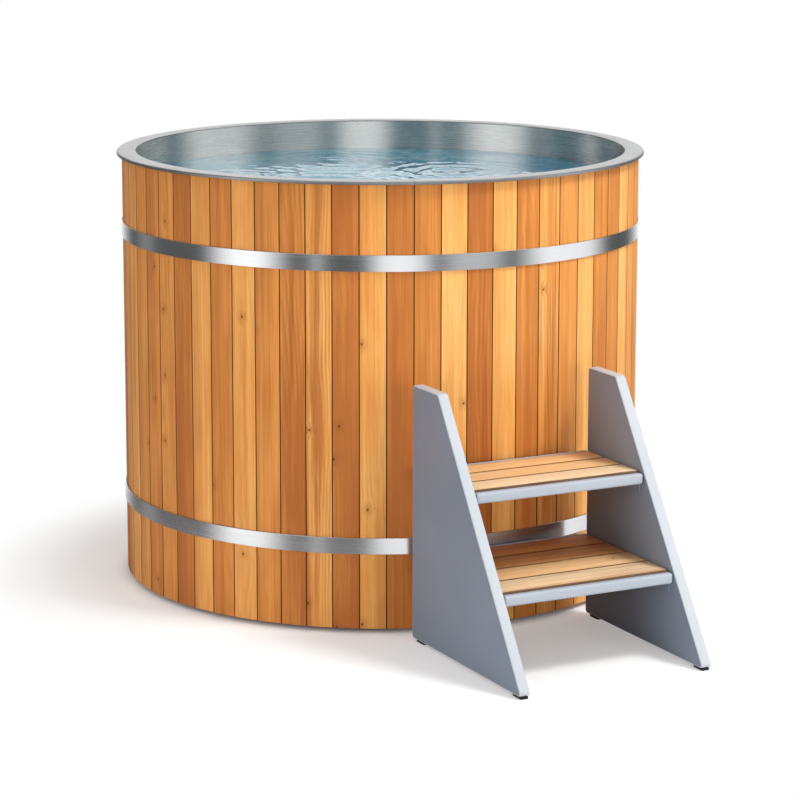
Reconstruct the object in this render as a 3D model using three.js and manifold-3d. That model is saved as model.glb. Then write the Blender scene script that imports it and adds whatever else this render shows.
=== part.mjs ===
// Round cold plunge tub: a steel vessel inside a hooped jacket of wooden staves, with a loose step unit.
// Millimetres, +Z up. The floor is z = 0, the tub's axis is the Z axis and the steps stand towards -Y.
import * as THREE from "three";
import { mergeVertices } from "three/addons/utils/BufferGeometryUtils.js";
import Module from "manifold-3d";

const wasm = await Module();
wasm.setup();

// Driving dimensions of the vessel
const tubHeight = 1000; // floor to the top of the rim
const linerRadius = 571; // inside of the liner
const linerSheet = 2;
const floorKnuckle = 25; // radius between liner floor and wall
const insulationJacket = 7.4;
const floorInsulation = 30;

// Driving dimensions of the rim flange
const rimOverhang = 12; // past the faces of the staves
const rimSheet = 2;
const rimLip = 7; // depth of the turned-down edge
const rimBend = 4; // outer radius of the bend above the lip

// Driving dimensions of the stave ring
const staveCount = 64;
const stavesPerPanel = 4; // staves glued edge to edge before assembly
const staveThickness = 22;
const staveFloorGap = 10;
const jointBevel = 1.6; // arris taken off each stave, so that a joint is a small V
const tongueWidth = 7;
const tongueDepth = 6;
const crozeDepth = 6; // groove round the inside that holds the base board

// Driving dimensions of the hoops
const hoopWidth = 36;
const hoopSheet = 2.5;
const upperHoopDrop = 178; // from the rim's top to the hoop's middle
const lowerHoopHeight = 197; // to the hoop's middle
const hoopGap = 14; // between the two ends
const lugLength = 24;
const lugDepth = 18;
const lugHeight = 28;
const hoopBoltRadius = 4;
const hoopBoltSpare = 5; // bolt showing past the nut
const hoopNutHeight = 7;
const hoopNutRadius = 8;

// Driving dimensions of the base
const baseThickness = 21;
const bearerHeight = 80;
const bearerWidth = 70;
const bearerDrainGap = 49.5; // from the rear bearer to the locknut of the drain
const bearerEndGap = 8; // from a bearer's end corners to the staves
const bearerArris = 4;
const padHeight = 10;
const padWidth = 60;
const padSetback = 20; // from the end of its bearer

// Driving dimensions of the drain and its valve
const drainInset = 138; // from the liner's wall, at the back
const drainPipeRadius = 16.5;
const drainPipeWall = 3.5;
const drainDrop = 9.7; // straight pipe above the elbow
const drainBendRadius = 28;
const drainFlangeRadius = 44;
const drainFlangeThickness = 5;
const drainFlangeBorder = 8; // round the strainer's seat
const drainFlangeEase = 2;
const strainerThickness = 2;
const strainerHoleRadius = 3;
const strainerHoleInset = 2; // from the bore to the middles of the outer holes
const gasketThickness = 2;
const locknutHeight = 10;
const locknutWall = 9;
const valveLength = 84;
const valveWall = 5;
const valveStandOff = 10; // from the staves to the valve body
const valveSocket = 16; // depth of pipe inside the valve
const ballRadius = 18;
const ballBore = 12;
const stemRadius = 6;
const stemBossHeight = 14;
const stemBossWall = 5;
const leverLength = 120;
const leverWidth = 18;
const leverThickness = 3;
const leverRise = 16; // crank between the lever's hub and its grip
const leverHub = 18;
const leverNutHeight = 6;
const leverNutWall = 4;
const stemSpare = 3; // stem showing past the nut
const nippleLength = 52;
const nippleWall = 3;
const nippleBarb = 2;
const nippleBarbs = 3;

// Driving dimensions of the step unit
const stepWidth = 461; // over both side panels
const stepHeight = 567;
const stepTopDepth = 116;
const stepBottomDepth = 484;
const stepTubGap = 7.5; // from the hoops to the back of the unit
const sideThickness = 24;
const sideCorner = 8;
const sideEdge = 3;
const upperTreadHeight = 379;
const lowerTreadHeight = 189;
const upperTreadBoards = 3;
const lowerTreadBoards = 4;
const boardThickness = 20;
const boardGap = 3;
const boardRound = 2.5; // along the edges
const boardEndEase = 1.2;
const nosingDepth = 18;
const nosingHeight = 23;
const nosingDrop = 3; // nosing's top below the boards
const nosingRound = 5;
const nosingEndEase = 2;
const nosingSideGap = 3;
const backRailDepth = 8;
const angleLeg = 28;
const angleThickness = 4;
const footHeight = 6;
const footLength = 34;
const footWidth = 18;
const frontFootSetback = 8;
const backFootSetback = 15;

// Clearances and facets
const seat = 0.3; // gap between pieces that bear on each other
const runningGap = 0.3; // round the ball and stem of the valve
const ringSides = 80;
const smallSides = 16;

// Values worked out from the driving dimensions
const stavePitch = (2 * Math.PI) / staveCount;
const panelCount = staveCount / stavesPerPanel;
const panelAngle = stavePitch * stavesPerPanel;
const rear = Math.PI / 2; // direction of the tub's back, and a quarter turn
const linerOuter = linerRadius + linerSheet;
const staveInner = linerOuter + insulationJacket + 2 * seat; // to the middle of a stave's flat
const staveOuter = staveInner + staveThickness;
const staveCorner = staveOuter / Math.cos(stavePitch / 2);
const rimUnderside = tubHeight - rimSheet;
const rimRadius = staveOuter + rimOverhang;
const hoopInner = clearOf(staveCorner + seat, ringSides);
const hoopOuter = hoopInner + hoopSheet;
const upperHoopHeight = tubHeight - upperHoopDrop;
const bearerBottom = padHeight + seat;
const baseBottom = bearerBottom + bearerHeight + seat;
const baseTop = baseBottom + baseThickness;
const insulationTop = baseTop + seat + floorInsulation;
const linerFloorTop = insulationTop + seat + linerSheet;
const drainPipeBore = drainPipeRadius - drainPipeWall;
const drainPipeHole = clearOf(drainPipeRadius + seat, smallSides);
const drainOffset = linerRadius - drainInset;
const drainTailBottom = baseBottom - 2 * seat - locknutHeight;
const drainPipeHeight = drainTailBottom - seat - drainDrop - drainBendRadius;
const locknutRadius = drainPipeRadius + locknutWall;
const bearerSpacing = drainOffset - locknutRadius - bearerDrainGap - bearerWidth / 2;
const stepBack = -(hoopOuter + stepTubGap);

// Radius of a regular polygon's corners when its flats lie on a circle of radius r
function clearOf(r, sides) {
  return r / Math.cos(Math.PI / sides);
}

// A closed three.js geometry as a solid for cutting and joining
function solid(geometry) {
  const bare = geometry.clone();
  bare.deleteAttribute("normal");
  bare.deleteAttribute("uv");
  const merged = mergeVertices(bare, 1e-4);
  const corners = Array.from(merged.index.array);
  const kept = [];
  for (let i = 0; i < corners.length; i += 3) {
    const [a, b, c] = corners.slice(i, i + 3);
    if (a !== b && b !== c && c !== a) {
      kept.push(a, b, c);
    }
  }
  const vertProperties = new Float32Array(merged.attributes.position.array);
  const triVerts = new Uint32Array(kept);
  return new wasm.Manifold(new wasm.Mesh({ numProp: 3, vertProperties, triVerts }));
}

function geometryOf(manifold) {
  const mesh = manifold.getMesh();
  const geometry = new THREE.BufferGeometry();
  geometry.setAttribute("position", new THREE.BufferAttribute(mesh.vertProperties, 3));
  geometry.setIndex(new THREE.BufferAttribute(mesh.triVerts, 1));
  geometry.computeVertexNormals();
  return geometry;
}

function cut(geometry, ...tools) {
  return geometryOf(tools.reduce((body, tool) => body.subtract(solid(tool)), solid(geometry)));
}

function join(geometry, ...others) {
  return geometryOf(others.reduce((body, other) => body.add(solid(other)), solid(geometry)));
}

// Turns a closed profile of [radius, height] corners, listed anticlockwise, round the Z axis
function revolve(profile, sides) {
  const points = profile.map(([r, z]) => new THREE.Vector2(r, z));
  if (profile[0][0] > 0) {
    points.push(points[0].clone());
  }
  return new THREE.LatheGeometry(points, sides).rotateX(rear);
}

function ring(inner, outer, low, high, sides) {
  return revolve([[inner, low], [outer, low], [outer, high], [inner, high]], sides);
}

function disc(radius, low, high, sides) {
  return revolve([[0, low], [radius, low], [radius, high], [0, high]], sides);
}

// Corners of an arc about (x, y), with its ends included
function arc(x, y, radius, from, to, steps) {
  return Array.from({ length: steps + 1 }, (_, i) => {
    const angle = from + ((to - from) * i) / steps;
    return [x + radius * Math.cos(angle), y + radius * Math.sin(angle)];
  });
}

function box(sizeX, sizeY, sizeZ, x, y, z) {
  return new THREE.BoxGeometry(sizeX, sizeY, sizeZ).translate(x, y, z);
}

function shapeOf(corners) {
  return new THREE.Shape(corners.map(([x, y]) => new THREE.Vector2(x, y)));
}

// Convex polygon, listed anticlockwise, with every corner rounded by the same radius
function roundedShape(corners, radius) {
  const shape = new THREE.Shape();
  const points = corners.map(([x, y]) => new THREE.Vector2(x, y));
  points.forEach((corner, i) => {
    const before = points[(i + points.length - 1) % points.length].clone().sub(corner).normalize();
    const after = points[(i + 1) % points.length].clone().sub(corner).normalize();
    const halfAngle = Math.acos(before.dot(after)) / 2;
    const inward = before.clone().add(after).setLength(radius / Math.sin(halfAngle));
    const centre = corner.clone().add(inward);
    const tangent = radius / Math.tan(halfAngle);
    const start = corner.clone().addScaledVector(before, tangent).sub(centre);
    const end = corner.clone().addScaledVector(after, tangent).sub(centre);
    shape.absarc(centre.x, centre.y, radius, start.angle(), end.angle());
  });
  shape.closePath();
  return shape;
}

function rectangle(left, low, right, high) {
  return [[left, low], [right, low], [right, high], [left, high]];
}

// A bar along X whose section is drawn as (-Y, Z), with eased ends
function barAlongX(section, length, ease, curveSegments = 2) {
  const options = { depth: length - 2 * ease, curveSegments, bevelEnabled: ease > 0 };
  Object.assign(options, { bevelThickness: ease, bevelSize: ease, bevelOffset: -ease, bevelSegments: 2 });
  const bar = new THREE.ExtrudeGeometry(section, options).translate(0, 0, ease - length / 2);
  const forward = new THREE.Vector3(0, -1, 0);
  const up = new THREE.Vector3(0, 0, 1);
  const along = new THREE.Vector3(-1, 0, 0);
  return bar.applyMatrix4(new THREE.Matrix4().makeBasis(forward, up, along));
}

const finish = {
  cedar: () => new THREE.MeshStandardMaterial({ color: 0xc8853f, roughness: 0.55, metalness: 0 }),
  steel: () => new THREE.MeshStandardMaterial({ color: 0xb4b7ba, roughness: 0.32, metalness: 1 }),
  paint: () => new THREE.MeshStandardMaterial({ color: 0x8c9099, roughness: 0.5, metalness: 0 }),
  rubber: () => new THREE.MeshStandardMaterial({ color: 0x17181a, roughness: 0.85, metalness: 0 }),
  foam: () => new THREE.MeshStandardMaterial({ color: 0xdad6c8, roughness: 0.95, metalness: 0 }),
  plywood: () => new THREE.MeshStandardMaterial({ color: 0xb98d5c, roughness: 0.8, metalness: 0 }),
  brass: () => new THREE.MeshStandardMaterial({ color: 0xb59a5a, roughness: 0.35, metalness: 1 }),
};

const coldPlungeTub = new THREE.Group();
coldPlungeTub.name = "cold_plunge_tub";

function add(parent, name, geometry, material) {
  const mesh = new THREE.Mesh(geometry, material);
  mesh.name = name;
  parent.add(mesh);
  return mesh;
}

// Plan of one panel of glued staves, about its own middle: V-joints outside, flats inside,
// a tongue on the leading edge and a groove on the trailing edge
function stavePanelPlan() {
  const half = panelAngle / 2;
  const halfWidth = staveOuter * Math.tan(stavePitch / 2) - jointBevel;
  const cornerScale = 1 / Math.cos(stavePitch / 2);
  const veeRadius = (staveOuter - jointBevel) * cornerScale;
  const innerRadius = staveInner * cornerScale;
  const tongueMiddle = staveInner + staveThickness / 2;
  const polar = (radius, angle, aside = 0) => [
    radius * Math.cos(angle) - aside * Math.sin(angle),
    radius * Math.sin(angle) + aside * Math.cos(angle),
  ];
  const corners = [polar(veeRadius, -half, seat / 2)];
  for (let k = 0; k < stavesPerPanel; k += 1) {
    const middle = -half + (k + 0.5) * stavePitch;
    corners.push(polar(staveOuter, middle, -halfWidth));
    corners.push(polar(staveOuter, middle, halfWidth));
    if (k < stavesPerPanel - 1) {
      corners.push(polar(veeRadius, middle + stavePitch / 2));
    }
  }
  const face = -seat / 2;
  corners.push(polar(veeRadius, half, face));
  corners.push(polar(tongueMiddle + tongueWidth / 2, half, face));
  corners.push(polar(tongueMiddle + tongueWidth / 2, half, face + tongueDepth));
  corners.push(polar(tongueMiddle - tongueWidth / 2, half, face + tongueDepth));
  corners.push(polar(tongueMiddle - tongueWidth / 2, half, face));
  corners.push(polar(innerRadius, half, face));
  for (let k = stavesPerPanel - 1; k > 0; k -= 1) {
    corners.push(polar(innerRadius, -half + k * stavePitch));
  }
  const grooveHalf = tongueWidth / 2 + seat;
  const grooveDepth = seat / 2 + tongueDepth;
  corners.push(polar(innerRadius, -half, seat / 2));
  corners.push(polar(tongueMiddle - grooveHalf, -half, seat / 2));
  corners.push(polar(tongueMiddle - grooveHalf, -half, grooveDepth));
  corners.push(polar(tongueMiddle + grooveHalf, -half, grooveDepth));
  corners.push(polar(tongueMiddle + grooveHalf, -half, seat / 2));
  return shapeOf(corners);
}

function addStaves(tub) {
  const staveTop = rimUnderside - seat;
  const options = { depth: staveTop - staveFloorGap, bevelEnabled: false };
  const blank = new THREE.ExtrudeGeometry(stavePanelPlan(), options).translate(0, 0, staveFloorGap);
  const crozeOuter = clearOf(staveInner + crozeDepth, staveCount);
  const croze = ring(staveInner - crozeDepth, crozeOuter, baseBottom - seat, baseTop + seat, staveCount);
  const panel = cut(blank, croze);
  const pipeHole = disc(drainPipeHole, 0, staveOuter + rimOverhang, smallSides).rotateX(-rear);
  pipeHole.translate(0, 0, drainPipeHeight);
  for (let i = 0; i < panelCount; i += 1) {
    // The last stave of the first panel is centred on the back of the tub
    const turn = rear + stavePitch / 2 - panelAngle / 2 + i * panelAngle;
    const geometry = i === 0 ? cut(panel, pipeHole.clone().rotateZ(-turn)) : panel.clone();
    const name = `stave_panel_${String(i + 1).padStart(2, "0")}`;
    add(tub, name, geometry, finish.cedar()).rotation.z = turn;
  }
}

// A flat hoop with its ends at the back, a lug welded to each end and a bolt that draws them together
function addHoop(tub, place, height) {
  const hoop = new THREE.Group();
  hoop.position.z = height;
  hoop.rotation.z = rear;
  tub.add(hoop);

  const endAngle = Math.asin(hoopGap / 2 / hoopInner);
  const sector = shapeOf([
    ...arc(0, 0, hoopOuter, endAngle, 2 * Math.PI - endAngle, ringSides),
    ...arc(0, 0, hoopInner, 2 * Math.PI - endAngle, endAngle, ringSides),
  ]);
  const flat = new THREE.ExtrudeGeometry(sector, { depth: hoopWidth, bevelEnabled: false });
  const band = flat.translate(0, 0, -hoopWidth / 2);
  const lugFoot = hoopOuter - hoopSheet / 2; // the lug is let into the band by half its thickness
  const lugMiddle = lugFoot + lugDepth / 2;
  const lugAside = (hoopGap + lugLength) / 2;
  const lugs = [-1, 1].map((side) => box(lugDepth, lugLength, lugHeight, lugMiddle, side * lugAside, 0));
  const lugEnd = lugAside + lugLength / 2;
  const boltHole = disc(hoopBoltRadius + seat, -lugEnd - 1, lugEnd + 1, smallSides);
  boltHole.rotateX(rear).translate(lugMiddle + hoopSheet, 0, 0);
  add(hoop, `hoop_${place}`, cut(join(band, ...lugs), boltHole), finish.steel());

  const shankStart = -lugEnd - seat - hoopNutHeight - hoopBoltSpare;
  const shank = disc(hoopBoltRadius, shankStart, lugEnd + seat + 1, smallSides);
  const head = disc(hoopNutRadius, lugEnd + seat, lugEnd + seat + hoopNutHeight, 6);
  const bolt = join(shank, head).rotateX(-rear);
  add(hoop, `hoop_bolt_${place}`, bolt, finish.steel()).position.x = lugMiddle + hoopSheet;

  const nutHole = hoopBoltRadius + seat;
  const nut = cut(
    disc(hoopNutRadius, -lugEnd - seat - hoopNutHeight, -lugEnd - seat, 6),
    disc(nutHole, -lugEnd - seat - hoopNutHeight - 1, -lugEnd, smallSides),
  ).rotateX(-rear);
  add(hoop, `hoop_nut_${place}`, nut, finish.steel()).position.x = lugMiddle + hoopSheet;
}

// Rim flange in two halves that meet at a butt seam in front and behind
function addRim(tub) {
  const bendX = rimRadius - rimBend;
  const bendZ = tubHeight - rimBend;
  const profile = [
    [linerRadius, rimUnderside],
    ...arc(bendX, bendZ, rimBend - rimSheet, rear, 0, 2),
    [rimRadius - rimSheet, tubHeight - rimLip],
    [rimRadius, tubHeight - rimLip],
    ...arc(bendX, bendZ, rimBend, 0, rear, 3),
    [linerRadius + rimSheet / 2, tubHeight],
    [linerRadius, tubHeight - rimSheet / 2],
  ];
  const whole = solid(revolve(profile, ringSides));
  const seamAngle = rear + stavePitch / 2 - panelAngle;
  const reach = 2 * rimRadius;
  for (const [name, side] of [["rim_left", 1], ["rim_right", -1]]) {
    const half = box(reach, rimRadius * 1.5, tubHeight, 0, side * (rimRadius * 0.75 + seat / 2), tubHeight);
    const piece = geometryOf(whole.intersect(solid(half.rotateZ(seamAngle))));
    add(tub, name, piece, finish.steel());
  }
}

function addLiner(tub) {
  const kneeX = linerRadius - floorKnuckle;
  const kneeZ = linerFloorTop + floorKnuckle;
  const dish = revolve([
    [0, linerFloorTop - linerSheet],
    ...arc(kneeX, kneeZ, floorKnuckle + linerSheet, -rear, 0, 3),
    ...arc(kneeX, kneeZ, floorKnuckle, 0, -rear, 3),
    [0, linerFloorTop],
  ], staveCount);
  const tailHole = disc(drainPipeHole, baseBottom, tubHeight, smallSides).translate(0, drainOffset, 0);
  add(tub, "liner_floor", cut(dish, tailHole), finish.steel());

  const wall = ring(linerRadius, linerOuter, kneeZ + seat, rimUnderside - seat, ringSides);
  add(tub, "liner_wall", wall, finish.steel());

  const jacketInner = clearOf(linerOuter + seat, staveCount);
  const jacket = ring(jacketInner, staveInner - seat, baseTop + seat, rimUnderside - seat, staveCount);
  add(tub, "insulation_jacket", jacket, finish.foam());

  const board = disc(linerOuter, baseTop + seat, insulationTop, staveCount);
  add(tub, "floor_insulation", cut(board, tailHole), finish.foam());
}

// Base board with its edge in the croze, on three bearers with rubber strips
function addBase(tub) {
  const baseCorner = clearOf(staveInner + crozeDepth - seat, staveCount);
  const tailHole = disc(drainPipeHole, 0, tubHeight, smallSides).translate(0, drainOffset, 0);
  const board = disc(baseCorner, baseBottom, baseTop, staveCount).rotateZ(stavePitch / 2);
  add(tub, "base_board", cut(board, tailHole), finish.plywood());

  for (const [place, row] of [["front", -1], ["middle", 0], ["rear", 1]]) {
    const y = row * bearerSpacing;
    const reach = staveInner - bearerEndGap;
    const length = 2 * Math.sqrt(reach ** 2 - (Math.abs(y) + bearerWidth / 2) ** 2);
    const half = bearerWidth / 2;
    const section = roundedShape(rectangle(-half, 0, half, bearerHeight), bearerArris);
    const bearer = barAlongX(section, length, 0, 1);
    add(tub, `bearer_${place}`, bearer, finish.plywood()).position.set(0, y, bearerBottom);
    const pad = box(length - 2 * padSetback, padWidth, padHeight, 0, y, padHeight / 2);
    add(tub, `bearer_pad_${place}`, pad, finish.rubber());
  }
}

// Floor drain: flange and tail through the floor, with gasket, strainer and locknut, then an elbow
function addDrain(tub) {
  const drain = new THREE.Group();
  drain.position.y = drainOffset;
  tub.add(drain);

  const flangeBottom = linerFloorTop + gasketThickness + 2 * seat;
  const flangeTop = flangeBottom + drainFlangeThickness;
  const ledge = flangeTop - strainerThickness;
  const ledgeRadius = drainFlangeRadius - drainFlangeBorder;
  const flange = revolve([
    [drainPipeBore, drainTailBottom],
    [drainPipeRadius, drainTailBottom],
    [drainPipeRadius, flangeBottom],
    [drainFlangeRadius, flangeBottom],
    [drainFlangeRadius - drainFlangeEase, flangeTop],
    [ledgeRadius, flangeTop],
    [ledgeRadius, ledge],
    [drainPipeBore, ledge],
  ], smallSides);
  add(drain, "drain_flange", flange, finish.steel());

  const gasketBottom = linerFloorTop + seat;
  const gasketTop = gasketBottom + gasketThickness;
  const gasket = ring(drainPipeHole, drainFlangeRadius, gasketBottom, gasketTop, smallSides);
  add(drain, "drain_gasket", gasket, finish.rubber());

  const holes = [];
  for (const [count, radius] of [[1, 0], [6, drainPipeBore - strainerHoleInset]]) {
    for (let i = 0; i < count; i += 1) {
      const angle = (2 * Math.PI * i) / count;
      const hole = disc(strainerHoleRadius, ledge - 1, flangeTop + 1, 8);
      holes.push(hole.translate(radius * Math.cos(angle), radius * Math.sin(angle), 0));
    }
  }
  const grid = disc(ledgeRadius - seat, ledge + seat, ledge + seat + strainerThickness, smallSides);
  add(drain, "drain_strainer", cut(grid, ...holes), finish.steel());

  const nutTop = baseBottom - seat;
  const nutBore = disc(drainPipeHole, 0, tubHeight, smallSides);
  const nut = disc(locknutRadius, nutTop - locknutHeight, nutTop, 6);
  add(drain, "drain_locknut", cut(nut, nutBore), finish.steel());

  const bend = new THREE.Vector3(0, 0, drainPipeHeight);
  const top = new THREE.Vector3(0, 0, drainTailBottom - seat);
  const bendStart = new THREE.Vector3(0, 0, drainPipeHeight + drainBendRadius);
  const bendEnd = new THREE.Vector3(0, drainBendRadius, drainPipeHeight);
  const end = new THREE.Vector3(0, valveStart() + valveSocket - drainOffset, drainPipeHeight);
  const route = new THREE.CurvePath();
  route.add(new THREE.LineCurve3(top, bendStart));
  route.add(new THREE.QuadraticBezierCurve3(bendStart, bend, bendEnd));
  route.add(new THREE.LineCurve3(bendEnd, end));
  const section = new THREE.Shape().absarc(0, 0, drainPipeRadius, 0, 2 * Math.PI);
  section.holes.push(new THREE.Path().absarc(0, 0, drainPipeBore, 0, 2 * Math.PI, true));
  const pipe = new THREE.ExtrudeGeometry(section, { steps: 14, curveSegments: 6, extrudePath: route });
  add(drain, "drain_pipe", pipe, finish.steel());
}

function valveStart() {
  return staveOuter + valveStandOff;
}

// Quarter-turn ball valve at the back, closed, with its lever across the pipe
function addValve(tub) {
  const valve = new THREE.Group();
  valve.position.set(0, valveStart() + valveLength / 2, drainPipeHeight);
  tub.add(valve);

  const half = valveLength / 2;
  const cavity = clearOf(clearOf(ballRadius, smallSides), smallSides) + runningGap;
  const throat = Math.acos(ballBore / cavity);
  const collar = drainPipeHole + valveWall;
  const waist = cavity + valveWall;
  const socketEnd = half - valveSocket - seat;
  // Drawn along Z and laid along Y
  const body = revolve([
    [drainPipeHole, -half],
    [collar, -half],
    [collar, -socketEnd],
    [waist, -ballBore],
    [waist, ballBore],
    [collar, socketEnd],
    [collar, half],
    [drainPipeHole, half],
    [drainPipeHole, socketEnd],
    [ballBore, socketEnd],
    ...arc(0, 0, cavity, throat, -throat, 6),
    [ballBore, -socketEnd],
    [drainPipeHole, -socketEnd],
  ], smallSides).rotateX(rear);
  const bossTop = waist + stemBossHeight;
  const boss = disc(stemRadius + stemBossWall, cavity, bossTop, smallSides);
  const stemHole = disc(stemRadius + runningGap, 0, bossTop + 1, smallSides);
  const bossOutside = cut(boss, new THREE.SphereGeometry(cavity, smallSides, smallSides));
  add(valve, "valve_body", cut(join(body, bossOutside), stemHole), finish.brass());

  const leverBottom = bossTop + runningGap;
  const stemTop = leverBottom + leverThickness + leverNutHeight + stemSpare;
  const ball = new THREE.SphereGeometry(ballRadius, smallSides, smallSides / 2).rotateX(rear);
  const stem = disc(stemRadius, 0, stemTop, smallSides);
  const waterway = disc(ballBore, -2 * ballRadius, 2 * ballRadius, smallSides).rotateY(rear);
  add(valve, "valve_ball", cut(join(ball, stem), waterway), finish.steel());

  const gripZ = leverRise + leverThickness;
  const side = shapeOf([
    [-leverHub, 0],
    [leverHub, 0],
    [leverHub + leverRise, leverRise],
    [leverLength, leverRise],
    [leverLength, gripZ],
    [leverHub + leverRise - leverThickness / 2, gripZ],
    [leverHub - leverThickness / 2, leverThickness],
    [-leverHub, leverThickness],
  ]);
  const strip = new THREE.ExtrudeGeometry(side, { depth: leverWidth, bevelEnabled: false });
  const lever = strip.translate(0, 0, -leverWidth / 2).rotateX(rear).translate(0, 0, leverBottom);
  add(valve, "valve_lever", cut(lever, stemHole.clone().translate(0, 0, leverThickness + 1)), finish.steel());

  const nutBottom = leverBottom + leverThickness + seat;
  const nut = disc(stemRadius + leverNutWall, nutBottom, nutBottom + leverNutHeight, 6);
  const nutHole = disc(stemRadius + seat, 0, stemTop + 1, smallSides);
  add(valve, "lever_nut", cut(nut, nutHole), finish.steel());

  const tipRadius = drainPipeRadius - nippleBarb;
  const barbPitch = nippleLength / (nippleBarbs + 1);
  const barbs = [];
  for (let i = 0; i < nippleBarbs; i += 1) {
    const start = half + barbPitch * (i + 1);
    barbs.push([drainPipeRadius, start], [tipRadius, start + barbPitch]);
  }
  const nipple = revolve([
    [tipRadius - nippleWall, socketEnd + seat],
    [drainPipeRadius, socketEnd + seat],
    [drainPipeRadius, half + seat],
    [collar, half + seat],
    [collar, half + barbPitch / 2],
    [tipRadius, half + barbPitch / 2],
    [tipRadius, half + barbPitch],
    ...barbs,
    [tipRadius - nippleWall, half + nippleLength],
  ], smallSides).rotateX(-rear);
  add(valve, "hose_nipple", nipple, finish.brass());
}

// How far the slanted front edge of a side panel stands from its back edge at a given height
function sideDepthAt(height) {
  const fall = (stepHeight - height) / (stepHeight - footHeight);
  return stepTopDepth + (stepBottomDepth - stepTopDepth) * fall;
}

// A tread: welded frame of nosing, back rail, two angles and a centre bar, with boards laid in it
function addTread(steps, place, height, boardCount) {
  const tread = new THREE.Group();
  tread.position.z = height;
  steps.add(tread);

  const clearWidth = stepWidth - 2 * sideThickness;
  const nosingTop = -nosingDrop;
  const depth = sideDepthAt(height + nosingTop);
  const nosingBack = depth - nosingDepth;
  const boardLength = clearWidth - 2 * nosingSideGap;
  const nosingCorners = rectangle(nosingBack, nosingTop - nosingHeight, depth, nosingTop);
  const nosing = barAlongX(roundedShape(nosingCorners, nosingRound), boardLength, nosingEndEase);

  const underside = -boardThickness - seat;
  const legBottom = underside - angleLeg;
  const railBottom = underside - angleThickness;
  const rail = barAlongX(shapeOf(rectangle(0, railBottom, backRailDepth, 0)), boardLength, 0);
  const frameLength = nosingBack + nosingRound;
  const middleY = -frameLength / 2;
  const flatZ = underside - angleThickness / 2;
  const legX = clearWidth / 2 - seat - angleThickness / 2;
  const flatX = clearWidth / 2 - seat - angleLeg / 2;
  const members = [];
  for (const side of [-1, 1]) {
    const legZ = (underside + legBottom) / 2;
    members.push(box(angleThickness, frameLength, angleLeg, side * legX, middleY, legZ));
    members.push(box(angleLeg, frameLength, angleThickness, side * flatX, middleY, flatZ));
  }
  members.push(box(angleLeg, frameLength, angleThickness, 0, middleY, flatZ));
  add(tread, `${place}_tread_frame`, join(nosing, rail, ...members), finish.paint());

  const room = nosingBack - backRailDepth;
  const pitch = (room - boardGap) / boardCount;
  for (let i = 0; i < boardCount; i += 1) {
    const start = backRailDepth + boardGap + i * pitch;
    const corners = rectangle(start, -boardThickness, start + pitch - boardGap, 0);
    const board = barAlongX(roundedShape(corners, boardRound), boardLength, boardEndEase, 1);
    add(tread, `${place}_tread_board_${i + 1}`, board, finish.cedar());
  }
}

function addSteps(tub) {
  const steps = new THREE.Group();
  steps.position.y = stepBack;
  tub.add(steps);

  const outline = roundedShape([
    [0, footHeight],
    [stepBottomDepth, footHeight],
    [stepTopDepth, stepHeight],
    [0, stepHeight],
  ], sideCorner);
  const middle = (stepWidth - sideThickness) / 2;
  for (const [name, side] of [["left", -1], ["right", 1]]) {
    const panel = barAlongX(outline, sideThickness, sideEdge);
    add(steps, `step_side_${name}`, panel, finish.paint()).position.x = side * middle;
    const footPlaces = [
      ["back", backFootSetback + footLength / 2],
      ["front", stepBottomDepth - frontFootSetback - footLength / 2],
    ];
    for (const [end, forward] of footPlaces) {
      const rise = footHeight - seat;
      const foot = box(footWidth, footLength, rise, side * middle, -forward, rise / 2);
      add(steps, `step_foot_${end}_${name}`, foot, finish.rubber());
    }
  }
  addTread(steps, "upper", upperTreadHeight, upperTreadBoards);
  addTread(steps, "lower", lowerTreadHeight, lowerTreadBoards);
}

addStaves(coldPlungeTub);
addHoop(coldPlungeTub, "upper", upperHoopHeight);
addHoop(coldPlungeTub, "lower", lowerHoopHeight);
addRim(coldPlungeTub);
addLiner(coldPlungeTub);
addBase(coldPlungeTub);
addDrain(coldPlungeTub);
addValve(coldPlungeTub);
addSteps(coldPlungeTub);

export default coldPlungeTub;
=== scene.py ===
import bpy
import bmesh
import math
import random
from mathutils import Matrix, Vector


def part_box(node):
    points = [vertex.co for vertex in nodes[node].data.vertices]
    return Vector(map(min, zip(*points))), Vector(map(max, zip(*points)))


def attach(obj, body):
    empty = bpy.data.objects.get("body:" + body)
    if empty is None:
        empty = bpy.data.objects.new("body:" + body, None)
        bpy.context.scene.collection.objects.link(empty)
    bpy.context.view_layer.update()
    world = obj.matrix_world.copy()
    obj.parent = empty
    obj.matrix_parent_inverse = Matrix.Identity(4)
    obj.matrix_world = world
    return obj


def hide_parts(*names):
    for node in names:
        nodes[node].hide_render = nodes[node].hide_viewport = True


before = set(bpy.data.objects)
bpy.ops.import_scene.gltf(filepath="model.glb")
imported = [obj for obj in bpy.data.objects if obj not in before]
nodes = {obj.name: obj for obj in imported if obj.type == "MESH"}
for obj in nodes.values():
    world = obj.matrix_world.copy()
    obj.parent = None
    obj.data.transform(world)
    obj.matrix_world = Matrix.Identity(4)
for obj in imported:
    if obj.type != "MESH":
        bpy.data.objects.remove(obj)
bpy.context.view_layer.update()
scene = bpy.context.scene
scene.view_settings.view_transform = "Standard"
dice = random.Random(41)  # every board draws its tone and its seed from here, in order
quarter = math.pi / 2
white = (1.0, 1.0, 1.0, 1.0)
boardValues = ("tone", "seed", "half")  # kept on the vertices of every wooden board


# shader maths: a socket that can be added, multiplied and so on

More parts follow.
